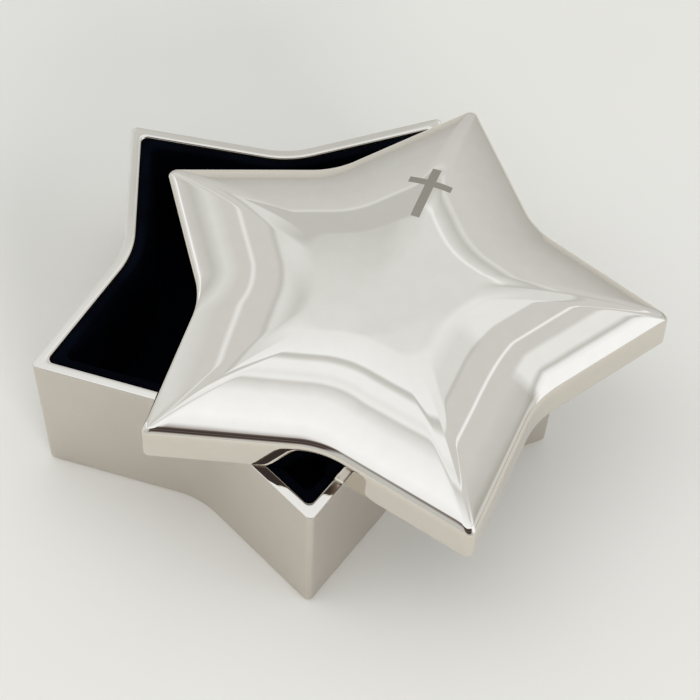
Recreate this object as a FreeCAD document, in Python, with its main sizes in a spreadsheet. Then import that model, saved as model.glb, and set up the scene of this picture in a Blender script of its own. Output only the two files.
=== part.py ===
import FreeCAD
import Part
import Sketcher
import math
import operator
import os

# Driving dimensions in millimetres, and the lid's turn in degrees
SIZES = {
    # Star outline of the base, at its rim
    "tip_radius": 53.0,
    "side_reach": 33.35,
    "tip_rounding": 1.1,
    "waist_rounding": 17.0,
    # Cast base
    "base_height": 30.4,
    "foot_draft": 0.85,
    "rim_width": 2.1,
    "rim_bevel": 0.6,
    "foot_bevel": 0.35,
    "floor_thickness": 2.0,
    "cavity_tip_rounding": 1.2,
    # Felt under the base
    "felt_thickness": 1.0,
    "felt_stand": 0.3,
    "felt_margin": 3.0,
    "felt_gap": 0.2,
    # Velvet lining of the base
    "card_thickness": 0.8,
    "velvet_thickness": 1.0,
    "glue_gap": 0.1,
    "lining_drop": 0.4,
    "floor_card_thickness": 1.2,
    "floor_velvet_thickness": 1.5,
    "pad_gap": 0.2,
    "velvet_tip_rounding": 1.5,
    # Cast lid
    "lid_overhang": 0.3,
    "lid_tip_rounding": 1.3,
    "skirt_height": 7.0,
    "crease_bevel": 0.45,
    "dome_rise": 6.5,
    "dome_reach": 22.0,
    "hollow_reach": 11.0,
    "lid_wall": 1.8,
    "lid_rim_width": 2.1,
    "lid_ledge": 0.9,
    # Velvet lining of the lid
    "lid_recess": 1.6,
    "lid_card_gap": 0.15,
    # How the lid lies on the rim
    "lid_shift_x": 6.95,
    "lid_shift_y": -17.65,
    "lid_turn_angle": 12.6,
}

POINTS = 5
HALF_STEP = 180 / POINTS
FIRST_TIP_ANGLE = 90

# Bands that the dome and the hollow under it are lofted in
DOME_BANDS = 10
HOLLOW_BANDS = 4

# The share of each side of the plateau that one of its corners takes
PLATEAU_CORNER_SHARE = 0.45

# A face counts as flat when its height is under this share of its width
FLAT_SHARE = 1e-6


def formula(sign, work):
    """An operator that works out the number and writes the formula alike."""

    def method(left, right):
        if not isinstance(right, Size):
            right = Size(right, str(right))
        return Size(work(left.value, right.value), f"({left.text} {sign} {right.text})")

    return method


class Size:
    """A length that carries both its number and its formula in the sheet."""

    def __init__(self, value, text):
        self.value = value
        self.text = text

    __add__ = formula("+", operator.add)
    __sub__ = formula("-", operator.sub)
    __mul__ = formula("*", operator.mul)
    __truediv__ = formula("/", operator.truediv)


doc = FreeCAD.newDocument("star_trinket_box")
sheet = doc.addObject("Spreadsheet::Sheet", "Sizes")
size = {}
for row, (alias, value) in enumerate(SIZES.items(), start=1):
    sheet.set(f"A{row}", alias)
    sheet.set(f"B{row}", str(value))
    sheet.setAlias(f"B{row}", alias)
    size[alias] = Size(value, f"Sizes.{alias}")
doc.recompute()

# Angles of the star: half the angle of a tip, and how far a side turns at a waist
zero = Size(0, "0")
one = Size(1, "1")
tip_sine = size["side_reach"] / size["tip_radius"]
half_tip = math.degrees(math.asin(tip_sine.value))
tip_tangent = Size(math.tan(math.radians(half_tip)), f"tan(asin({tip_sine.text}))")
waist_turn = 90 - HALF_STEP - half_tip
waist_turn_text = f"{90 - HALF_STEP} deg - asin({tip_sine.text})"
waist_cosine = Size(math.cos(math.radians(waist_turn)), f"cos({waist_turn_text})")
waist_tangent = Size(math.tan(math.radians(waist_turn)), f"tan({waist_turn_text})")

# Heights in the base
floor_top = size["felt_thickness"] + size["floor_thickness"]
velvet_top = size["base_height"] - size["lining_drop"]
card_top = velvet_top - size["velvet_thickness"]
pad_top = floor_top + size["floor_card_thickness"]

# Heights in the lid, above the lower edge of its skirt
lid_card_bottom = size["lid_recess"] + size["velvet_thickness"]
lid_seat = lid_card_bottom + size["card_thickness"]


def new_body(label):
    """An empty body whose label names its file."""
    body = doc.addObject("PartDesign::Body", label)
    body.Label = label
    return body


def lid_body(label):
    """A body of the lid, lying on the rim and turned and shifted as the lid is."""
    body = new_body(label)
    body.Placement.Rotation = FreeCAD.Rotation(FreeCAD.Vector(0, 0, 1), SIZES["lid_turn_angle"])
    body.setExpression("Placement.Base.x", size["lid_shift_x"].text)
    body.setExpression("Placement.Base.y", size["lid_shift_y"].text)
    body.setExpression("Placement.Base.z", size["base_height"].text)
    body.setExpression("Placement.Rotation.Angle", size["lid_turn_angle"].text)
    return body


def polar(radius, angle):
    """A point of the sketch plane, by its distance from the axis and its direction."""
    turn = math.radians(angle)
    return FreeCAD.Vector(radius * math.cos(turn), radius * math.sin(turn), 0)


def star(body, name, height, inset, tip_round, waist_round=None):
    """A rounded star at a height, its ten sides moved in from the outline of the rim.

    Each tip and each waist is an arc centred on its own ray from the axis, and each
    side is the straight line that touches the two arcs beside it. A waist keeps the
    same centre at every inset unless it is given a rounding of its own.
    """
    if waist_round is None:
        waist_round = size["waist_rounding"] + inset
    sketch = body.newObject("Sketcher::SketchObject", name)
    plane = next(f for f in body.Origin.OriginFeatures if f.Role == "XY_Plane")
    sketch.AttachmentSupport = (plane, [""])
    sketch.MapMode = "FlatFace"
    sketch.setExpression("AttachmentOffset.Base.z", height.text)
    tip_centre = (size["side_reach"] - inset - tip_round) / tip_sine
    waist_centre = (size["side_reach"] - inset + waist_round) / waist_cosine
    facing = 90 - half_tip
    corners = []
    for point in range(POINTS):
        ray = FIRST_TIP_ANGLE + 2 * HALF_STEP * point
        corners.append((ray, tip_centre, tip_round, facing))
        corners.append((ray + HALF_STEP, waist_centre, waist_round, waist_turn))
    count = len(corners)
    arcs = []
    ends = []
    constraints = []
    bindings = []
    for n, (ray, centre, radius, half_arc) in enumerate(corners):
        is_waist = n % 2
        middle_ray = ray + 180 * is_waist
        middle = polar(centre.value, ray)
        start, stop = middle_ray - half_arc, middle_ray + half_arc
        circle = Part.Circle(middle, FreeCAD.Vector(0, 0, 1), radius.value)
        arcs.append(Part.ArcOfCircle(circle, math.radians(start), math.radians(stop)))
        first, last = (stop, start) if is_waist else (start, stop)
        ends.append((middle + polar(radius.value, first), middle + polar(radius.value, last)))
        bindings.append((len(constraints), f"{centre.text} * cos({ray} deg)"))
        constraints.append(Sketcher.Constraint("DistanceX", -1, 1, n, 3, middle.x))
        bindings.append((len(constraints), f"{centre.text} * sin({ray} deg)"))
        constraints.append(Sketcher.Constraint("DistanceY", -1, 1, n, 3, middle.y))
        bindings.append((len(constraints), radius.text))
        constraints.append(Sketcher.Constraint("Radius", n, radius.value))
        last_end = 1 if is_waist else 2
        constraints.append(Sketcher.Constraint("Tangent", n, last_end, count + n, 1))
        constraints.append(Sketcher.Constraint("Tangent", count + n, 2, (n + 1) % count, last_end))
    sides = [Part.LineSegment(ends[n][1], ends[(n + 1) % count][0]) for n in range(count)]
    sketch.addGeometry(arcs + sides)
    sketch.addConstraint(constraints)
    for number, text in bindings:
        sketch.setExpression(f"Constraints[{number}]", text)
    return sketch


def loft(body, name, kind, sections):
    """A solid ruled from star to star, added to the body or taken from it."""
    feature = body.newObject(f"PartDesign::{kind}Loft", name)
    feature.Profile = sections[0]
    feature.Sections = sections[1:]
    feature.Ruled = True
    doc.recompute()
    return feature


def extrude(body, name, kind, sketch, depth, up):
    """A straight pad or pocket of a star, whose direction is told by the volume."""
    feature = body.newObject(f"PartDesign::{kind}", name)
    feature.Profile = sketch
    feature.setExpression("Length", depth.text)
    feature.Reversed = up == (kind == "Pocket")
    doc.recompute()
    return feature


def bevel(body, name, edges, amount):
    """A bevel along chosen edges of the body's last feature."""
    base = body.Tip
    names = [
        f"Edge{n}"
        for n, edge in enumerate(base.Shape.Edges, start=1)
        if any(edge.isSame(chosen) for chosen in edges)
    ]
    feature = body.newObject("PartDesign::Chamfer", name)
    feature.Base = (base, names)
    feature.setExpression("Size", amount.text)
    doc.recompute()
    return feature


def level_face(body, height, upward):
    """The flat face of the body at a height that looks straight up or down."""
    shape = body.Tip.Shape
    level = height.value
    flat = [f for f in shape.Faces if f.BoundBox.ZLength < f.BoundBox.DiagonalLength * FLAT_SHARE]
    near = [f for f in flat if abs(f.CenterOfMass.z - level) < f.BoundBox.DiagonalLength * FLAT_SHARE]
    return next(f for f in near if (f.normalAt(0, 0).z > 0) == upward)


def outer_edges(face):
    """The edges round the outside of a face."""
    return face.OuterWire.Edges


def inner_edges(face):
    """The edges round the holes of a face."""
    outside = face.OuterWire.Edges
    return [e for e in face.Edges if not any(e.isSame(o) for o in outside)]


def cavity_inset(height):
    """How far the wall's inner face lies inside the rim's outline at a height."""
    fall = (size["base_height"] - height) / (size["base_height"] - floor_top)
    return size["rim_width"] + size["foot_draft"] * fall


def lining(body, name, kind, bottom, top, extra, tip_round):
    """A loft that follows the leaning inner wall, further in by a fixed extra."""
    low = star(body, f"{name}_low", bottom, cavity_inset(bottom) + extra, tip_round)
    high = star(body, f"{name}_high", top, cavity_inset(top) + extra, tip_round)
    return loft(body, name, kind, [low, high])


def make_base_shell():
    """The cast base: leaning walls, a floor, a felt recess below and a bevelled rim."""
    body = new_body("base_shell")
    foot = star(body, "foot", size["felt_stand"], size["foot_draft"], size["tip_rounding"])
    rim = star(body, "rim", size["base_height"], zero, size["tip_rounding"])
    loft(body, "casting", "Additive", [foot, rim])
    lining(body, "cavity", "Subtractive", floor_top, size["base_height"], zero, size["cavity_tip_rounding"])
    recess_inset = size["foot_draft"] + size["felt_margin"]
    recess = star(body, "recess", size["felt_stand"], recess_inset, size["tip_rounding"])
    extrude(body, "felt_recess", "Pocket", recess, size["felt_thickness"] - size["felt_stand"], True)
    bevel(body, "rim_bevel", inner_edges(level_face(body, size["base_height"], True)), size["rim_bevel"])
    bevel(body, "foot_bevel", outer_edges(level_face(body, size["felt_stand"], False)), size["foot_bevel"])
    return body


def make_base_felt():
    """The felt pad glued into the recess, standing a little below the casting."""
    body = new_body("base_felt")
    inset = size["foot_draft"] + size["felt_margin"] + size["felt_gap"]
    outline = star(body, "outline", zero, inset, size["tip_rounding"])
    extrude(body, "pad", "Pad", outline, size["felt_thickness"], True)
    return body


def make_wall_card():
    """The card strip that stiffens the wall lining."""
    body = new_body("wall_card")
    inner = size["glue_gap"] + size["card_thickness"]
    lining(body, "strip", "Additive", floor_top, card_top, size["glue_gap"], size["cavity_tip_rounding"])
    lining(body, "inside", "Subtractive", floor_top, card_top, inner, size["cavity_tip_rounding"])
    return body


def make_wall_velvet():
    """The velvet on the wall, folded over the upper edge of its card."""
    body = new_body("wall_velvet")
    card = size["glue_gap"] + size["card_thickness"] + size["glue_gap"]
    inner = card + size["velvet_thickness"]
    lining(body, "cloth", "Additive", floor_top, card_top, card, size["cavity_tip_rounding"])
    lining(body, "fold", "Additive", card_top, velvet_top, size["glue_gap"], size["cavity_tip_rounding"])
    lining(body, "inside", "Subtractive", floor_top, velvet_top, inner, size["velvet_tip_rounding"])
    return body


def pad_inset():
    """How far the floor pad lies inside the rim's outline, clear of the wall lining."""
    cloth = size["glue_gap"] + size["card_thickness"] + size["glue_gap"] + size["velvet_thickness"]
    return cavity_inset(floor_top) + cloth + size["pad_gap"]


def make_floor_card():
    """The card that carries the floor velvet."""
    body = new_body("floor_card")
    outline = star(body, "outline", floor_top, pad_inset(), size["velvet_tip_rounding"])
    extrude(body, "card", "Pad", outline, size["floor_card_thickness"], True)
    return body


def make_floor_velvet():
    """The velvet floor of the box."""
    body = new_body("floor_velvet")
    outline = star(body, "outline", pad_top, pad_inset(), size["velvet_tip_rounding"])
    extrude(body, "cloth", "Pad", outline, size["floor_velvet_thickness"], True)
    return body


def blend(start, end, share):
    """A size part of the way from one to another."""
    return start + (end - start) * share


def dome_rise(depth):
    """How high the dome stands above the skirt at a depth in from the lid's outline."""
    left = one - depth / size["dome_reach"]
    return size["dome_rise"] * (one - left * left)


def dome_star(body, name, depth, drop):
    """A section of the dome, whose corners grow rounder towards the plateau."""
    inset = depth - size["lid_overhang"]
    plateau_reach = size["side_reach"] - size["dome_reach"] + size["lid_overhang"]
    corner = plateau_reach * (one / tip_tangent - waist_tangent) * PLATEAU_CORNER_SHARE
    share = depth / size["dome_reach"]
    tip_round = blend(size["lid_tip_rounding"], corner * tip_tangent, share)
    waist_round = blend(size["waist_rounding"], corner / waist_tangent, share)
    height = size["skirt_height"] + dome_rise(depth) - drop
    return star(body, name, height, inset, tip_round, waist_round)


def dome(body, name, kind, start, end, bands, drop):
    """The pillowed dome or the hollow under it, in bands from one depth to another."""
    depths = [blend(start, end, band / bands) for band in range(bands + 1)]
    sections = [dome_star(body, f"{name}_{n}", depth, drop) for n, depth in enumerate(depths)]
    loft(body, name, kind, sections)
    return sections[0]


def level_edges(body, height):
    """The edges of the body that lie flat at a height."""
    level = height.value
    spread = body.Tip.Shape.BoundBox.DiagonalLength * FLAT_SHARE
    edges = body.Tip.Shape.Edges
    return [e for e in edges if max(abs(e.BoundBox.ZMin - level), abs(e.BoundBox.ZMax - level)) < spread]


def make_lid_shell():
    """The cast lid: an upright skirt and a pillowed star dome, hollow above a ledge."""
    body = lid_body("lid_shell")
    outside = zero - size["lid_overhang"]
    edge = dome(body, "dome", "Additive", zero, size["dome_reach"], DOME_BANDS, zero)
    foot = star(body, "skirt_foot", zero, outside, size["lid_tip_rounding"], size["waist_rounding"])
    loft(body, "skirt", "Additive", [foot, edge])
    bevel(body, "crease", level_edges(body, size["skirt_height"]), size["crease_bevel"])
    recess = star(body, "recess", zero, outside + size["lid_rim_width"], size["lid_tip_rounding"])
    extrude(body, "lining_recess", "Pocket", recess, lid_seat, True)
    hollow_depth = size["lid_rim_width"] + size["lid_ledge"]
    roof = dome(
        body, "hollow", "Subtractive", hollow_depth, size["hollow_reach"], HOLLOW_BANDS, size["lid_wall"]
    )
    mouth = dome_star(body, "hollow_mouth", hollow_depth, size["lid_wall"])
    mouth.setExpression("AttachmentOffset.Base.z", lid_seat.text)
    loft(body, "hollow_wall", "Subtractive", [mouth, roof])
    return body


def make_lid_card():
    """The card of the lid lining, held up against the ledge inside the skirt."""
    body = lid_body("lid_card")
    inset = size["lid_rim_width"] + size["lid_card_gap"] - size["lid_overhang"]
    outline = star(body, "outline", lid_card_bottom, inset, size["lid_tip_rounding"])
    extrude(body, "card", "Pad", outline, size["card_thickness"], True)
    return body


def make_lid_velvet():
    """The velvet under the lid."""
    body = lid_body("lid_velvet")
    inset = size["lid_rim_width"] + size["lid_card_gap"] - size["lid_overhang"]
    outline = star(body, "outline", size["lid_recess"], inset, size["lid_tip_rounding"])
    extrude(body, "cloth", "Pad", outline, size["velvet_thickness"], True)
    return body


MAKERS = (
    make_base_shell,
    make_base_felt,
    make_wall_card,
    make_wall_velvet,
    make_floor_card,
    make_floor_velvet,
    make_lid_shell,
    make_lid_card,
    make_lid_velvet,
)

bodies = [make() for make in MAKERS]
doc.recompute()
for item in doc.Objects:
    if "Invalid" in item.State or "Error" in item.State:
        raise RuntimeError(f"{item.Label} failed: {item.State}")
for body in bodies:
    if body.Shape.isNull() or not body.Shape.isValid() or len(body.Shape.Solids) != 1:
        raise RuntimeError(f"{body.Label} is not one sound solid")
os.makedirs("parts", exist_ok=True)
for body in bodies:
    body.Shape.exportStep(f"parts/{body.Label}.step")
    print(body.Label, round(body.Shape.Volume, 1), len(body.Shape.Faces), body.Shape.BoundBox)
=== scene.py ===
# %% [markdown]
# A star trinket box in plated metal, with its lid lying askew on the rim.
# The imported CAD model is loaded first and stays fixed: it says where every
# piece is. Each visible surface is then worked out again as a fine numpy
# surface, because a mirror finish shows every facet of a coarse mesh.

import bpy
import numpy as np
from mathutils import Matrix


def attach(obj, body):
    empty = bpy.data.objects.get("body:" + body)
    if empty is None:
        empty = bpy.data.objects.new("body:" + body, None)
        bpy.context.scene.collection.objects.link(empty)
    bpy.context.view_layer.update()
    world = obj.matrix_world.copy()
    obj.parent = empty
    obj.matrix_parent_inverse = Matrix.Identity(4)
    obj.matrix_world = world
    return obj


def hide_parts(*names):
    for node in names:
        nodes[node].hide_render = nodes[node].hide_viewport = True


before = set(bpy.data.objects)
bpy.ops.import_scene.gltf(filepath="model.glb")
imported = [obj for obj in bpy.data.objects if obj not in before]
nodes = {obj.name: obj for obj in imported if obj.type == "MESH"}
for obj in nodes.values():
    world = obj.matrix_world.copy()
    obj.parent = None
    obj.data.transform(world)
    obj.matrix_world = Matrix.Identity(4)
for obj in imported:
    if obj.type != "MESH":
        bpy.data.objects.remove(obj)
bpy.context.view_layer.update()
MM = 0.001

# %% [markdown]
# Every material here is a small network of nodes. One function adds a node
# with its settings and links, and one turns the sRGB hex values that a
# designer reads off a swatch into the linear light that Blender works in.

# %% Colours and nodes
scene = bpy.context.scene
scene.view_settings.view_transform = "Standard"


def linear(code):
    """sRGB to linear: c / 12.92 below 0.04045, else ((c + 0.055) / 1.055) ** 2.4."""
    part = np.array([int(code[k : k + 2], 16) for k in (1, 3, 5)]) / 255
    low = part <= 0.04045
    return np.where(low, part / 12.92, ((part + 0.055) / 1.055) ** 2.4)


def rgba(code):
    """A hex value as the four numbers that a colour socket takes."""
    return (*linear(code), 1.0)


def add(tree, kind, inputs=None, stops=None, **settings):
    """One node: settings are properties, inputs are values or sockets, stops fill a ramp."""
    made = tree.nodes.new(kind)
    for name, value in settings.items():
        setattr(made, name, value)
    for name, value in (inputs or {}).items():
        if isinstance(value, bpy.types.NodeSocket):
            tree.links.new(value, made.inputs[name])
        else:
            made.inputs[name].default_value = value
    if stops:
        elements = made.color_ramp.elements
        elements.remove(elements[1])
        elements[0].position, elements[0].color = stops[0]
        for position, colour in stops[1:]:
            elements.new(position).color = colour
    return made


def new_material(name):
    """An empty material with its principled shader and the object's own coordinates."""
    made = bpy.data.materials.new(name)
    made.use_nodes = True
    tree = made.node_tree
    shader = tree.nodes["Principled BSDF"]
    place = add(tree, "ShaderNodeTexCoord").outputs["Object"]
    return made, tree, shader, place


print("white as linear light:", linear("#FFFFFF"))

# %% [markdown]
# The camera stands where the photograph was taken from: about 53 degrees
# above the table, half a metre away, with a slight roll. It was worked out
# by fitting the star outline of the rim to its picture.

# %% Camera
AZIMUTH, ELEVATION, ROLL = np.radians([-41.355, 52.820, 2.395])
TARGET = np.array([13.784, -0.462, 0.0]) * MM
DISTANCE = 483.58 * MM
LENS = 122.477

back = np.array(
    [
        np.sin(AZIMUTH) * np.cos(ELEVATION),
        -np.cos(AZIMUTH) * np.cos(ELEVATION),
        np.sin(ELEVATION),
    ]
)
level_right = np.array([np.cos(AZIMUTH), np.sin(AZIMUTH), 0.0])
level_up = np.cross(back, level_right)
right = np.cos(ROLL) * level_right + np.sin(ROLL) * level_up
up = np.cos(ROLL) * level_up - np.sin(ROLL) * level_right


def stand(name, data, axes, spot):
    """A camera or lamp that looks along minus its third axis, placed by its axes and its spot."""
    made = bpy.data.objects.new(name, data)
    pose = np.eye(4)
    pose[:3, :3] = np.stack(axes, axis=1)
    pose[:3, 3] = spot
    made.matrix_world = Matrix(pose.tolist())
    scene.collection.objects.link(made)
    print(name, "at", np.round(spot, 4))
    return made


camera = stand("camera", bpy.data.cameras.new("camera"), (right, up, back), TARGET + back * DISTANCE)
camera.data.sensor_width = 36.0
camera.data.lens = LENS
camera.data.clip_start = 0.01
scene.camera = camera

# %% [markdown]
# A polished lid is a mirror, so the studio round it is half of its looks.
# The box stands in a light tent: a pale panel opposite the camera, a white
# roof with seams, warm grey side walls with a thin bright gap in each, and
# the dark room behind the camera. The world draws that tent by direction: one
# angle turns up over the roof, one turns to the sides, and a ramp for each
# wall gives its tones outwards from the middle of the panel. Nine tones are
# enough, from glowing cloth to the dark room, each as the mirror shows it.

# %% Tones of the tent
PLATING = "#DED8CE"
GLOW, CLOTH, PANEL, HAZE = "#F5F4F1", "#ECEBE7", "#E4E3DE", "#D6D5CF"
WALL, SEAM, DIM = "#CAC7C0", "#BDBBB3", "#A4A096"
BROWN, DARK = "#6E5C51", "#3D3735"
ROOF_STOPS = {
    -62: DIM, -46: SEAM, -24: WALL, -22: HAZE, -20.5: SEAM, -4: SEAM, -1.2: HAZE, 2: PANEL,
    17.8: CLOTH, 19.4: SEAM, 21.4: WALL, 23.5: CLOTH, 28: CLOTH, 31: PANEL, 34: CLOTH, 35.8: WALL,
    38: HAZE, 43: CLOTH, 55: GLOW, 60: CLOTH, 62.5: BROWN, 66: DARK, 76: DARK, 81: BROWN, 86: DARK,
    96: DARK, 103: BROWN, 114: SEAM,
}
LEFT_STOPS = {
    0: HAZE, 14.5: HAZE, 16.5: SEAM, 18.5: WALL, 26.8: WALL, 28.3: PANEL, 29.8: WALL, 34: WALL,
    39: HAZE, 44: SEAM, 47.5: WALL, 49.5: GLOW, 52.5: GLOW, 54: HAZE, 60: HAZE, 66: WALL, 72: HAZE,
}
RIGHT_STOPS = {
    0: HAZE, 21: HAZE, 22.3: SEAM, 24: WALL, 33.4: WALL, 34.4: GLOW, 35.4: WALL, 43: WALL,
    50: SEAM, 53: DIM, 55.5: SEAM, 60: WALL,
}
CORNER_STOPS = {
    0: PANEL, 21.4: PANEL, 22.6: WALL, 33.4: WALL, 34.4: GLOW, 35.4: WALL, 41.2: WALL, 43.4: PANEL,
    50: PANEL, 52.3: SEAM, 54: CLOTH, 56: GLOW, 64: GLOW,
}
BACK_STOPS = {
    0: HAZE, 7: HAZE, 8.5: CLOTH, 10: HAZE, 16: SEAM, 19: HAZE, 21: WALL, 28: WALL, 46: SEAM, 62: DIM,
}
WALL_SHARES = {
    -145: (0, 0, 0), -141: (1, 0, 0), -52: (1, 0, 0), -48: (0, 0, 0), 27: (0, 1, 0), 31: (1, 1, 0),
    54: (1, 1, 0), 64: (1, 0, 0), 105: (1, 0, 0), 109: (0, 0, 0), 118: (0, 0, 1), 150: (0, 0, 1),
    168: (0, 0, 0),
}
TENT_STOPS = (ROOF_STOPS, LEFT_STOPS, RIGHT_STOPS, CORNER_STOPS, BACK_STOPS)
PANEL_FROM, PANEL_TO = np.radians([5.0, 14.0])
DARK_FROM, DARK_TO = np.radians([28.0, 40.0])
ROOF_END = np.radians(59.5)


def tent_light(stops):
    """The light behind each tone that the mirror shows: the tone divided by the plating's tint."""
    return {angle: (*(linear(tone) / linear(PLATING)), 1.0) for angle, tone in stops.items()}


print("tent stops:", [len(stops) for stops in TENT_STOPS])

# %% Angles of the tent
PULL_TURN, PULL_SHARE = 0.14, 0.25
world = bpy.data.worlds.new("light_tent")
scene.world = world
world.use_nodes = True
tent = world.node_tree
mirror_way = back * np.array([-1.0, -1.0, 1.0])
over_way = np.cross(level_right, mirror_way)
over_way = over_way * np.sign(over_way @ back)
sight = add(tent, "ShaderNodeTexCoord").outputs["Generated"]
ahead, over, aside = (
    add(
        tent, "ShaderNodeVectorMath", {0: sight, 1: tuple(way)}, operation="DOT_PRODUCT"
    ).outputs["Value"]
    for way in (mirror_way, over_way, level_right)
)
roof_turn = add(tent, "ShaderNodeMath", {0: over, 1: ahead}, operation="ARCTAN2").outputs[0]
side_turn = add(tent, "ShaderNodeMath", {0: aside}, operation="ARCSINE").outputs[0]
side_size = add(tent, "ShaderNodeMath", {0: side_turn}, operation="ABSOLUTE").outputs[0]
both = add(tent, "ShaderNodeCombineXYZ", {"X": roof_turn, "Y": side_turn}).outputs["Vector"]
outward = add(tent, "ShaderNodeVectorMath", {0: both}, operation="LENGTH").outputs["Value"]
heading = add(tent, "ShaderNodeMath", {0: side_turn, 1: roof_turn}, operation="ARCTAN2").outputs[0]
pull_span = {"From Min": -PULL_TURN, "From Max": PULL_TURN, "To Min": -PULL_SHARE, "To Max": PULL_SHARE}
pull = add(tent, "ShaderNodeMapRange", {"Value": roof_turn, **pull_span}).outputs["Result"]
roof_reach = add(
    tent, "ShaderNodeMath", {0: side_size, 1: pull, 2: roof_turn}, operation="MULTIPLY_ADD"
).outputs[0]


def tent_ramp(angle, stops):
    """A ramp read at an angle in radians, from its first stop to its last, both in degrees."""
    first, last = min(stops), max(stops)
    span = {"Value": angle, "From Min": np.radians(first), "From Max": np.radians(last)}
    spot = add(tent, "ShaderNodeMapRange", span).outputs["Result"]
    places = [((turn - first) / (last - first), colour) for turn, colour in stops.items()]
    return add(tent, "ShaderNodeValToRGB", {"Fac": spot}, places).outputs["Color"]


def tent_mix(share, first, second):
    """The first tone where the share is 0, the second where it is 1."""
    return add(tent, "ShaderNodeMix", {0: share, 6: first, 7: second}, data_type="RGBA").outputs[2]


read_at = (roof_reach, side_size, outward, outward, outward)
roof, left, right_wall, corner, behind_panel = (
    tent_ramp(angle, tent_light(stops)) for angle, stops in zip(read_at, TENT_STOPS)
)
shares = tent_ramp(heading, {angle: (*share, 1) for angle, share in WALL_SHARES.items()})
wall_share, corner_share, back_share = add(tent, "ShaderNodeSeparateColor", {"Color": shares}).outputs
print("tent ramps:", len(tent.nodes), "nodes so far")

# %% Walls of the tent together
on_right = add(tent, "ShaderNodeMath", {0: side_turn, 1: 0.0}, operation="GREATER_THAN").outputs[0]
walls = tent_mix(on_right, left, tent_mix(corner_share, right_wall, corner))
past_panel = add(
    tent, "ShaderNodeMapRange", {"Value": outward, "From Min": PANEL_FROM, "From Max": PANEL_TO}
).outputs["Result"]
on_wall = add(tent, "ShaderNodeMath", {0: wall_share, 1: past_panel}, operation="MULTIPLY").outputs[0]
past_roof = add(
    tent, "ShaderNodeMath", {0: roof_reach, 1: ROOF_END}, operation="GREATER_THAN"
).outputs[0]
past_dark = add(
    tent, "ShaderNodeMapRange", {"Value": side_size, "From Min": DARK_FROM, "From Max": DARK_TO}
).outputs["Result"]
on_far = add(tent, "ShaderNodeMath", {0: past_roof, 1: past_dark}, operation="MULTIPLY").outputs[0]
far_room = tent_light({0: SEAM})[0]
ahead_tone = tent_mix(back_share, tent_mix(on_far, roof, far_room), behind_panel)
tone = tent_mix(on_wall, ahead_tone, walls)
tent.links.new(tone, tent.nodes["Background"].inputs["Color"])
print("tent:", len(tent.nodes), "nodes")

# %% [markdown]
# The table is pale matt paper, and it fills the whole picture. Two soft lamps
# lift the paper to the tone it is written in: one above the front left, and a
# larger one low and far off at the front right, which shines in under the lid.
# The mirror shows the tent and not these lamps.

# %% Table and lamps
TABLE_HALF = 6.0
TABLE_DROP = 0.05 * MM
PAPER_DRIFT = 0.12
LAMPS = {
    "lamp_above": {"right": -0.35, "front": 0.4, "up": 0.75, "size": 1.2, "power": 2.8},
    "lamp_low": {"right": 1.6, "front": 3.5, "up": 0.95, "size": 2.0, "power": 130.0},
}

paper, tree, shader, place = new_material("matt_paper")
drift = add(
    tree, "ShaderNodeTexNoise", {"Vector": place, "Scale": 1 / PAPER_DRIFT, "Detail": 1.0}
).outputs["Fac"]
tint = add(tree, "ShaderNodeValToRGB", {"Fac": drift}, [(0.3, rgba("#DBD8D0")), (0.7, rgba("#E0DDD6"))])
tree.links.new(tint.outputs["Color"], shader.inputs["Base Color"])
shader.inputs["Roughness"].default_value = 0.8
shader.inputs["Specular IOR Level"].default_value = 0.1

table_mesh = bpy.data.meshes.new("table")
corners = np.array([[-1, -1, 0], [1, -1, 0], [1, 1, 0], [-1, 1, 0]]) * TABLE_HALF - [0, 0, TABLE_DROP]
table_mesh.from_pydata(corners.tolist(), [], [(0, 1, 2, 3)])
table_mesh.materials.append(paper)
table = bpy.data.objects.new("table", table_mesh)
scene.collection.objects.link(table)

level_front = np.cross(level_right, [0.0, 0.0, 1.0])
for name, lamp in LAMPS.items():
    spot = lamp["right"] * level_right + lamp["front"] * level_front + np.array([0.0, 0.0, lamp["up"]])
    lamp_back = spot / np.linalg.norm(spot)
    lamp_right = np.cross([0.0, 0.0, 1.0], lamp_back)
    lamp_right = lamp_right / np.linalg.norm(lamp_right)
    axes = (lamp_right, np.cross(lamp_back, lamp_right), lamp_back)
    made = stand(name, bpy.data.lights.new(name, "AREA"), axes, spot)
    made.data.energy, made.data.size = lamp["power"], lamp["size"]
    made.visible_glossy = False

# %% [markdown]
# Everything on this box is one outline: a five-pointed star whose tips and
# waists are rounded, moved inwards by some inset. A closed piece is a stack of
# such stars, a profile of insets and heights carried along the star, so one
# function makes the stars and one skins the stack. The sizes are the CAD's own.

# %% Star outlines
TIP_RADIUS, SIDE_REACH = 53.0, 33.35
WAIST_ROUNDING = 17.0
POINTS = 5
HALF_TIP = np.arcsin(SIDE_REACH / TIP_RADIUS)
WAIST_TURN = np.pi / 2 - np.pi / POINTS - HALF_TIP
ARC_STEPS, SIDE_STEPS = 17, 20


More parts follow.
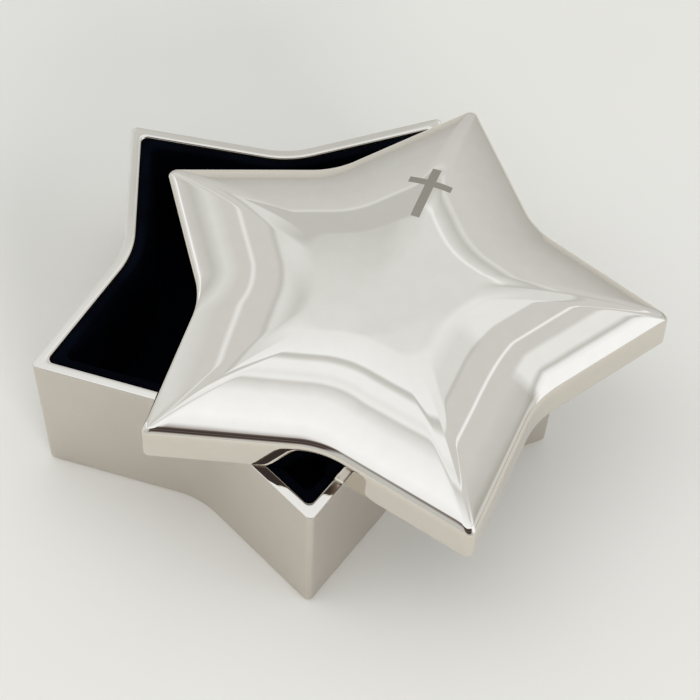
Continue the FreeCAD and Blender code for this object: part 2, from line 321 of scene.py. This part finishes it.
def stars(inset, tip_round, waist_round=None):
    """Rounded stars, one row of points for each inset, in millimetres round the axis.

    A tip is an arc centred on its ray at (reach - inset - r) / sin(half tip), and a
    waist an arc centred at (reach - inset + r) / cos(waist turn). Straight sides
    run from the end of each arc to the start of the next.
    """
    inset = np.asarray(inset, float)
    if waist_round is None:
        waist_round = WAIST_ROUNDING + inset
    inset, tip, waist = (
        np.broadcast_to(value, inset.shape)[:, None, None] for value in (inset, tip_round, waist_round)
    )
    ray = (np.pi / 2 + 2 * np.pi / POINTS * np.arange(POINTS))[None, :, None]
    sweep = np.linspace(-1, 1, ARC_STEPS)[None, None, :]
    tip_turn = ray + sweep * (np.pi / 2 - HALF_TIP)
    waist_ray = ray + np.pi / POINTS
    waist_turn = waist_ray + np.pi - sweep * WAIST_TURN
    tip_far = (SIDE_REACH - inset - tip) / np.sin(HALF_TIP)
    waist_far = (SIDE_REACH - inset + waist) / np.cos(WAIST_TURN)
    tip_arc = tip_far * np.exp(1j * ray) + tip * np.exp(1j * tip_turn)
    waist_arc = waist_far * np.exp(1j * waist_ray) + waist * np.exp(1j * waist_turn)
    arcs = np.stack([tip_arc, waist_arc], axis=2).reshape(len(inset), 2 * POINTS, ARC_STEPS)
    along = np.arange(1, SIDE_STEPS + 1) / (SIDE_STEPS + 1)
    following = np.roll(arcs[:, :, :1], -1, axis=1)
    sides = arcs[:, :, -1:] * (1 - along) + following * along
    ring = np.concatenate([arcs, sides], axis=2).reshape(len(inset), -1)
    return np.stack([ring.real, ring.imag], axis=-1)


def stack(inset, height, tip_round, waist_round=None):
    """Stars at their heights: an array of rings, points and x, y, z in millimetres."""
    flat = stars(inset, tip_round, waist_round)
    level = np.broadcast_to(np.asarray(height, float)[:, None, None], (*flat.shape[:2], 1))
    return np.concatenate([flat, level], axis=-1)


def bend(first, last, width, drop, steps):
    """Part of an ellipse from one angle to another, as steps of inset and height."""
    turn = np.radians(np.linspace(first, last, steps))
    return width * np.cos(turn), drop * np.sin(turn)


print("half tip", np.degrees(HALF_TIP).round(2), "waist turn", np.degrees(WAIST_TURN).round(2))


# %% Skin over a stack
def skin(name, rings, materials, band_material=None, loop=False, sharp=35):
    """A mesh over a stack of rings: quads between neighbours, closed by a fan at each end.

    With loop the last ring joins the first instead. A profile that goes out below,
    up the outside and in on top gives faces that all point outwards.
    """
    count, around = rings.shape[:2]
    points = rings.reshape(-1, 3)
    ring = np.arange(count if loop else count - 1)[:, None]
    step = np.arange(around)[None, :]
    after, next_ring = (step + 1) % around, (ring + 1) % count
    this, above = ring * around, next_ring * around
    corners = [this + step, this + after, above + after, above + step]
    faces = np.stack(corners, axis=-1).reshape(-1, 4).tolist()
    slots = np.repeat(np.zeros(len(ring), int) if band_material is None else band_material, around)
    if not loop:
        points = np.concatenate([points, rings[[0, -1]].mean(axis=1)])
        here, last = np.arange(around), (count - 1) * around
        after = (here + 1) % around
        low = np.stack([np.full(around, len(points) - 2), after, here], axis=-1)
        high = np.stack([last + here, last + after, np.full(around, len(points) - 1)], axis=-1)
        faces = faces + low.tolist() + high.tolist()
        slots = np.concatenate([slots, np.full(around, slots[0]), np.full(around, slots[-1])])
    mesh = bpy.data.meshes.new(name)
    mesh.from_pydata((points * MM).tolist(), [], faces)
    for material in materials:
        mesh.materials.append(material)
    mesh.polygons.foreach_set("material_index", slots.astype(np.int32))
    mesh.shade_smooth()
    mesh.set_sharp_from_angle(angle=np.radians(sharp))
    piece = bpy.data.objects.new(name, mesh)
    scene.collection.objects.link(piece)
    low_z, high_z = points[:, 2].min(), points[:, 2].max()
    print(name, len(points), "points,", len(faces), "faces, z", low_z, "to", high_z)
    return piece


# %% [markdown]
# The plating on the walls is nickel with a satin finish: the casting is
# brushed with a fine fleece before it is plated, so it gives soft, wide
# reflections with a warm tint and no clear image. The real grit is about
# 0.05 mm, which no picture shows, so the grain is drawn at 0.4 mm and faint.

# %% Satin nickel
GRAIN, CLOUD, GRAIN_DEPTH = 0.4 * MM, 18 * MM, 0.01 * MM
SATIN_ROUGH = {"To Min": 0.30, "To Max": 0.38}
satin, tree, shader, place = new_material("satin_nickel")
grain = add(
    tree, "ShaderNodeTexNoise", {"Vector": place, "Scale": 1 / GRAIN, "Detail": 3.0}
).outputs["Fac"]
cloud = add(
    tree, "ShaderNodeTexNoise", {"Vector": place, "Scale": 1 / CLOUD, "Detail": 2.0}
).outputs["Fac"]
tint = add(tree, "ShaderNodeValToRGB", {"Fac": cloud}, [(0.3, rgba("#D0CAC1")), (0.7, rgba("#D5CFC6"))])
gloss = add(tree, "ShaderNodeMapRange", {"Value": grain, **SATIN_ROUGH}).outputs["Result"]
relief = add(
    tree, "ShaderNodeBump", {"Height": grain, "Strength": 0.15, "Distance": GRAIN_DEPTH}
).outputs["Normal"]
tree.links.new(tint.outputs["Color"], shader.inputs["Base Color"])
tree.links.new(gloss, shader.inputs["Roughness"])
tree.links.new(relief, shader.inputs["Normal"])
shader.inputs["Metallic"].default_value = 1.0
print("satin roughness", SATIN_ROUGH)

# %% [markdown]
# The lid and the rim are the same plating, buffed to a mirror. A hand-buffed
# casting is never quite flat: waves about 9 mm long and a hundredth of a
# millimetre deep make straight reflections tremble. Buffing also leaves
# patches that are a shade less sharp.

# %% Polished nickel
WAVE, PATCH, WAVE_DEPTH = 9 * MM, 3 * MM, 0.012 * MM
MIRROR_ROUGH = {"To Min": 0.01, "To Max": 0.03}


def polished_nickel(name):
    """Mirror plating: long shallow waves in the normal, and a roughness that drifts in patches."""
    made, tree, shader, place = new_material(name)
    wave = add(
        tree, "ShaderNodeTexNoise", {"Vector": place, "Scale": 1 / WAVE, "Detail": 1.0}
    ).outputs["Fac"]
    patch = add(
        tree, "ShaderNodeTexNoise", {"Vector": place, "Scale": 1 / PATCH, "Detail": 4.0}
    ).outputs["Fac"]
    shades = [(0.2, rgba("#DCD6CC")), (0.8, rgba("#E0DAD0"))]
    tint = add(tree, "ShaderNodeValToRGB", {"Fac": patch}, shades)
    gloss = add(tree, "ShaderNodeMapRange", {"Value": patch, **MIRROR_ROUGH}).outputs["Result"]
    relief = add(
        tree, "ShaderNodeBump", {"Height": wave, "Strength": 1.0, "Distance": WAVE_DEPTH}
    ).outputs["Normal"]
    tree.links.new(tint.outputs["Color"], shader.inputs["Base Color"])
    tree.links.new(gloss, shader.inputs["Roughness"])
    tree.links.new(relief, shader.inputs["Normal"])
    shader.inputs["Metallic"].default_value = 1.0
    return made, tree, shader, place, tint.outputs["Color"], gloss


rim_plating = polished_nickel("polished_nickel_rim")[0]
print("rim material:", rim_plating.name)

# %% [markdown]
# The base is a cast star with walls that lean in slightly towards the foot.
# Its rim is polished: crisp at the outer edge and rolled over to the inside.
# One profile runs from the felt recess below, up the wall, over the rim and
# down the inside to the floor, and is carried along the star.

# %% Base shell
BASE_HEIGHT, FOOT_DRAFT, FELT_STAND = 30.4, 0.85, 0.3
RIM_WIDTH, FLOOR_TOP, FELT_THICKNESS = 2.1, 3.0, 1.0
RECESS_INSET, FOOT_BEVEL = FOOT_DRAFT + 3.0, 0.35
EDGE_ROUND = 0.15
ROLL_WIDTH, ROLL_DROP = 0.5, 0.4
WALL_TIP, CAVITY_TIP = 1.1, 1.2


def wall_inset(height):
    """The outer wall leans in evenly, from none at the rim to the draft at the foot."""
    return FOOT_DRAFT * (BASE_HEIGHT - height) / (BASE_HEIGHT - FELT_STAND)


def cavity_inset(height):
    """The inner wall leans alike, from the rim's width to that and the draft."""
    return RIM_WIDTH + FOOT_DRAFT * (BASE_HEIGHT - height) / (BASE_HEIGHT - FLOOR_TOP)


foot_in = [RECESS_INSET, RECESS_INSET, FOOT_DRAFT + FOOT_BEVEL]
wall_height = np.linspace(FELT_STAND + FOOT_BEVEL, BASE_HEIGHT - EDGE_ROUND, 7)
flat_in = np.linspace(EDGE_ROUND, RIM_WIDTH - ROLL_WIDTH, 4)[1:]
edge_in, edge_up = bend(180, 90, EDGE_ROUND, EDGE_ROUND, steps=6)
roll_in, roll_up = bend(90, 0, ROLL_WIDTH, ROLL_DROP, steps=12)
cavity_height = np.linspace(BASE_HEIGHT - ROLL_DROP, FLOOR_TOP, 6)
inset = np.concatenate(
    [
        foot_in,
        wall_inset(wall_height),
        edge_in[1:] + EDGE_ROUND,
        flat_in,
        roll_in[1:] + RIM_WIDTH - ROLL_WIDTH,
        cavity_inset(cavity_height)[1:],
    ]
)
height = np.concatenate(
    [
        [FELT_THICKNESS, FELT_STAND, FELT_STAND],
        wall_height,
        edge_up[1:] + BASE_HEIGHT - EDGE_ROUND,
        np.full(len(flat_in), BASE_HEIGHT),
        roll_up[1:] + BASE_HEIGHT - ROLL_DROP,
        cavity_height[1:],
    ]
)
first_polished = len(foot_in) + len(wall_height) - 1
last_polished = len(inset) - len(cavity_height)
band = np.arange(len(inset) - 1)
polished = ((band >= first_polished) & (band < last_polished)).astype(int)
tip_round = np.interp(inset, [RIM_WIDTH - ROLL_WIDTH, RIM_WIDTH], [WALL_TIP, CAVITY_TIP])
base = skin("base_casting", stack(inset, height, tip_round), [satin, rim_plating], polished)
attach(base, "base")
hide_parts("base_shell")

# %% [markdown]
# The lining is cotton velvet, so dark a navy that it looks black: its pile
# stands up and swallows light, and only where it is seen edge-on does it show
# a faint blue sheen. The pile is about 0.2 mm thick and is drawn at 0.35 mm.
# Where a hand has brushed it, the nap lies over and shows as broad patches.

# %% Navy velvet
PILE, NAP, PILE_DEPTH, PILE_SHARE = 0.35 * MM, 14 * MM, 0.15 * MM, 0.4
velvet, tree, shader, place = new_material("navy_velvet")
pile = add(
    tree, "ShaderNodeTexNoise", {"Vector": place, "Scale": 1 / PILE, "Detail": 2.0}
).outputs["Fac"]
nap = add(
    tree, "ShaderNodeTexNoise", {"Vector": place, "Scale": 1 / NAP, "Detail": 2.0}
).outputs["Fac"]
shade = add(
    tree, "ShaderNodeMath", {0: pile, 1: PILE_SHARE, 2: nap}, operation="MULTIPLY_ADD"
).outputs[0]
tint = add(tree, "ShaderNodeValToRGB", {"Fac": shade}, [(0.5, rgba("#010206")), (0.9, rgba("#050811"))])
relief = add(
    tree, "ShaderNodeBump", {"Height": pile, "Strength": 0.6, "Distance": PILE_DEPTH}
).outputs["Normal"]
tree.links.new(tint.outputs["Color"], shader.inputs["Base Color"])
tree.links.new(relief, shader.inputs["Normal"])
shader.inputs["Roughness"].default_value = 0.95
shader.inputs["Specular IOR Level"].default_value = 0.03
shader.inputs["Sheen Weight"].default_value = 0.008
shader.inputs["Sheen Roughness"].default_value = 0.35
shader.inputs["Sheen Tint"].default_value = rgba("#5A6EA8")
print("velvet sheen", shader.inputs["Sheen Weight"].default_value)

# %% [markdown]
# The wall lining is a strip of that velvet wrapped over a card: it lies on
# the inside of the wall, is folded over the card's upper edge and ends behind
# it. Its section is a closed hook, carried round the star as a loop.

# %% Wall velvet
GLUE_GAP, CARD_THICKNESS, VELVET_THICKNESS = 0.1, 0.8, 1.0
LINING_DROP = 0.4
VELVET_TOP = BASE_HEIGHT - LINING_DROP
CARD_TOP = VELVET_TOP - VELVET_THICKNESS
FOLD_ROUND = 0.48
VELVET_TIP = 1.5
behind = 2 * GLUE_GAP + CARD_THICKNESS
front = behind + VELVET_THICKNESS
fold_in, fold_up = bend(180, 90, FOLD_ROUND, FOLD_ROUND, steps=6)
turn_in, turn_up = bend(90, 0, FOLD_ROUND, FOLD_ROUND, steps=8)
face_height = np.linspace(VELVET_TOP - FOLD_ROUND, FLOOR_TOP, 16)[1:]
height = np.concatenate(
    [
        [CARD_TOP],
        fold_up + VELVET_TOP - FOLD_ROUND,
        turn_up + VELVET_TOP - FOLD_ROUND,
        face_height,
        [FLOOR_TOP, CARD_TOP],
    ]
)
extra = np.concatenate(
    [
        [GLUE_GAP],
        fold_in + GLUE_GAP + FOLD_ROUND,
        turn_in + front - FOLD_ROUND,
        np.full(len(face_height), front),
        [behind, behind],
    ]
)
tip_round = np.interp(extra, [behind, front], [CAVITY_TIP, VELVET_TIP])
wall_rings = stack(cavity_inset(height) + extra, height, tip_round)
wall_cloth = skin("wall_lining", wall_rings, [velvet], loop=True, sharp=60)
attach(wall_cloth, "base")
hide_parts("wall_velvet")

# %% [markdown]
# The floor, the lid's lining and the felt below are flat pads cut to the
# star. Cloth that is cut and glued has a soft edge and a slight crown, so each
# pad is a flat back, a rounded side and a face that rises a little inwards.

# %% Pads
CROWN_REACH, TIP_GROWTH = 9.0, 0.3
FLOOR_CARD, FLOOR_PILE = 1.2, 1.5
FLOOR_GAP, FLOOR_EDGE, FLOOR_CROWN = 0.03, 0.3, 0.25


def pad(inset, low, top, rounding, crown, tip_round, upward=True):
    """Rings of a star pad: a flat back, a rounded edge, and a face that rises as a parabola."""
    side_in, side_up = bend(180, 90, rounding, rounding, steps=7)
    rise = np.linspace(0, 1, 9)[1:]
    spread = np.concatenate([[0, 0], rounding + side_in[1:], rounding + CROWN_REACH * rise])
    shoulder = top - crown - rounding
    height = np.concatenate([[low, shoulder], shoulder + side_up[1:], top - crown * (1 - rise) ** 2])
    if not upward:
        spread, height = spread[::-1], low + top - height[::-1]
    return stack(inset + spread, height, tip_round + TIP_GROWTH * spread)


def lay(piece, body, node):
    """A cut piece of cloth rides on its body and stands for its CAD solid, which is hidden.
    """
    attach(piece, body)
    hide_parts(node)


floor_inset = cavity_inset(FLOOR_TOP) + front + FLOOR_GAP
floor_low = FLOOR_TOP + FLOOR_CARD
floor_rings = pad(floor_inset, floor_low, floor_low + FLOOR_PILE, FLOOR_EDGE, FLOOR_CROWN, VELVET_TIP)
floor_cloth = skin("floor_lining", floor_rings, [velvet], sharp=60)
lay(floor_cloth, "base", "floor_velvet")

# %% [markdown]
# The pad under the box is black pressed felt, a mat of short wool hairs that
# looks faintly flecked. The hairs are far finer than a picture can show, so
# the flecks are drawn at 0.6 mm.

# %% Felt pad
HAIR, HAIR_DEPTH = 0.6 * MM, 0.2 * MM
FELT_GAP, FELT_EDGE = 0.2, 0.25
felt, tree, shader, place = new_material("black_felt")
hair = add(
    tree, "ShaderNodeTexNoise", {"Vector": place, "Scale": 1 / HAIR, "Detail": 4.0}
).outputs["Fac"]
tint = add(tree, "ShaderNodeValToRGB", {"Fac": hair}, [(0.35, rgba("#0E0E10")), (0.7, rgba("#232327"))])
relief = add(
    tree, "ShaderNodeBump", {"Height": hair, "Strength": 0.5, "Distance": HAIR_DEPTH}
).outputs["Normal"]
tree.links.new(tint.outputs["Color"], shader.inputs["Base Color"])
tree.links.new(relief, shader.inputs["Normal"])
shader.inputs["Roughness"].default_value = 1.0
shader.inputs["Specular IOR Level"].default_value = 0.1
felt_rings = pad(RECESS_INSET + FELT_GAP, 0.0, FELT_THICKNESS, FELT_EDGE, 0.0, WALL_TIP, upward=False)
felt_pad = skin("felt_pad", felt_rings, [felt], sharp=60)
lay(felt_pad, "base", "base_felt")

# %% [markdown]
# The lid is cast like the base and polished all over: an upright skirt, a
# soft crease, and a dome that swells like a pillow towards a flat middle. The
# dome is a parabola of the depth in from the outline, and its tips and waists
# grow rounder on the way in, so the ridges fade out.

# %% Lid shell
LID_TURN = np.radians(12.6)
LID_SHIFT = np.array([6.95, -17.65, BASE_HEIGHT])
OVERHANG, SKIRT_HEIGHT, LID_TIP = 0.3, 7.0, 1.3
DOME_RISE, DOME_REACH, CORNER_SHARE = 6.5, 22.0, 0.45
LID_RIM, CARD_ROOF = 1.8, 3.4
CREASE_ROUND, LIP_ROUND = 2.0, 0.15
CORNER = (
    (SIDE_REACH - DOME_REACH + OVERHANG) * (1 / np.tan(HALF_TIP) - np.tan(WAIST_TURN)) * CORNER_SHARE
)


def placed(rings):
    """Rings of the lid, turned and moved to where the lid lies on the rim."""
    cos, sin = np.cos(LID_TURN), np.sin(LID_TURN)
    turn = np.array([[cos, sin, 0], [-sin, cos, 0], [0, 0, 1]])
    return rings @ turn + LID_SHIFT


def dome_height(depth):
    """Skirt height and the rise times 1 - (1 - depth / reach) squared."""
    return SKIRT_HEIGHT + DOME_RISE * (1 - (1 - depth / DOME_REACH) ** 2)


slope = np.arctan(2 * DOME_RISE / DOME_REACH)
crease_in, crease_up = bend(180, 90 + np.degrees(slope), CREASE_ROUND, CREASE_ROUND, steps=12)
crease_depth = CREASE_ROUND + crease_in
crease_height = crease_up - crease_up[-1] + dome_height(crease_depth[-1])
dome_depth = np.linspace(crease_depth[-1], DOME_REACH, 72)[1:]
lip_in, lip_up = bend(270, 180, LIP_ROUND, LIP_ROUND, steps=5)
skirt_height = np.linspace(LIP_ROUND, crease_height[0], 8)[1:-1]
depth = np.concatenate(
    [
        [LID_RIM + OVERHANG, LID_RIM + OVERHANG],
        LIP_ROUND + lip_in,
        np.zeros(len(skirt_height)),
        crease_depth,
        dome_depth,
    ]
)
height = np.concatenate(
    [
        [CARD_ROOF, 0.0],
        LIP_ROUND + lip_up,
        skirt_height,
        crease_height,
        dome_height(dome_depth),
    ]
)
part_way = depth / DOME_REACH
lid_rings = placed(
    stack(
        depth - OVERHANG,
        height,
        LID_TIP + (CORNER * np.tan(HALF_TIP) - LID_TIP) * part_way,
        WAIST_ROUNDING + (CORNER / np.tan(WAIST_TURN) - WAIST_ROUNDING) * part_way,
    )
)
lid_plating, tree, shader, place, bright, gloss = polished_nickel("polished_nickel_lid")
lid = skin("lid_casting", lid_rings, [lid_plating])
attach(lid, "lid")
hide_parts("lid_shell")

# %% [markdown]
# A plain cross is engraved on one arm of the lid. An engraver's cutter leaves
# a shallow matt groove, so it needs no mesh: the material turns its pattern to
# that arm, marks two bars by their distances, and is duller there. The darker
# grey there is painted shade of the cut, not a colour of the metal.

# %% Engraved cross
GROOVE_ROUGH = 0.5
ARM_ANGLE = np.radians(30.6)
UPRIGHT = {"along": (23.75, 6.75), "across": (0.4, 0.87)}
CROSSBAR = {"along": (26.3, 0.8), "across": (0.4, 4.25)}
arm_axis = np.array([np.cos(ARM_ANGLE), np.sin(ARM_ANGLE)])
arm_side = np.array([-np.sin(ARM_ANGLE), np.cos(ARM_ANGLE)])
arm_place = add(
    tree,
    "ShaderNodeMapping",
    {
        "Vector": place,
        "Scale": (1 / MM, 1 / MM, 1 / MM),
        "Rotation": (0.0, 0.0, -ARM_ANGLE),
        "Location": (-arm_axis @ LID_SHIFT[:2], -arm_side @ LID_SHIFT[:2], 0.0),
    },
).outputs["Vector"]
arm_parts = add(tree, "ShaderNodeSeparateXYZ", {"Vector": arm_place}).outputs


def bar(along, across):
    """1 where both distances from the bar's middle are within its half sizes, else 0."""
    sides = [
        add(
            tree, "ShaderNodeMath", {0: arm_parts[axis], 1: middle, 2: half}, operation="COMPARE"
        ).outputs[0]
        for axis, (middle, half) in enumerate((along, across))
    ]
    return add(tree, "ShaderNodeMath", {0: sides[0], 1: sides[1]}, operation="MULTIPLY").outputs[0]


groove = add(
    tree, "ShaderNodeMath", {0: bar(**UPRIGHT), 1: bar(**CROSSBAR)}, operation="MAXIMUM"
).outputs[0]
# painted shade: the cross takes a darker grey colour for the shade in the cut
groove_painted_shade = add(
    tree, "ShaderNodeMix", {0: groove, 6: bright, 7: rgba("#A09A8E")}, data_type="RGBA"
).outputs[2]
dull = add(tree, "ShaderNodeMix", {0: groove, 2: gloss, 3: GROOVE_ROUGH}, data_type="FLOAT").outputs[0]
tree.links.new(groove_painted_shade, shader.inputs["Base Color"])
tree.links.new(dull, shader.inputs["Roughness"])
print("cross from", UPRIGHT["along"], "along the arm")

# %% [markdown]
# Under the lid the same velvet is stretched over a card that sits against a
# ledge inside the skirt. It is the floor pad upside down.

# %% Lid lining
LINING_GAP, LINING_LOW, LINING_EDGE, LINING_CROWN = 0.15, 1.6, 0.45, 0.15
lining_top = LINING_LOW + VELVET_THICKNESS
lining_pad = pad(
    LID_RIM + LINING_GAP, LINING_LOW, lining_top, LINING_EDGE, LINING_CROWN, LID_TIP, upward=False
)
lining_rings = placed(lining_pad)
lid_cloth = skin("lid_lining", lining_rings, [velvet], sharp=60)
lay(lid_cloth, "lid", "lid_velvet")

# %% [markdown]
# The cards that carry the velvet are grey bookbinder's board, pressed from
# waste paper, with darker fibres in it. They are hidden in the closed lining,
# so the CAD solids stay and only get their material.

# %% Lining cards
FIBRE, FIBRE_DEPTH = 1.2 * MM, 0.05 * MM
board, tree, shader, place = new_material("lining_card")
fibre = add(
    tree, "ShaderNodeTexNoise", {"Vector": place, "Scale": 1 / FIBRE, "Detail": 5.0}
).outputs["Fac"]
tint = add(tree, "ShaderNodeValToRGB", {"Fac": fibre}, [(0.3, rgba("#8D877C")), (0.7, rgba("#A8A297"))])
relief = add(
    tree, "ShaderNodeBump", {"Height": fibre, "Strength": 0.3, "Distance": FIBRE_DEPTH}
).outputs["Normal"]
tree.links.new(tint.outputs["Color"], shader.inputs["Base Color"])
tree.links.new(relief, shader.inputs["Normal"])
shader.inputs["Roughness"].default_value = 0.9
for name in ("wall_card", "floor_card", "lid_card"):
    nodes[name].data.materials.clear()
    nodes[name].data.materials.append(board)
print("cards in", board.name)
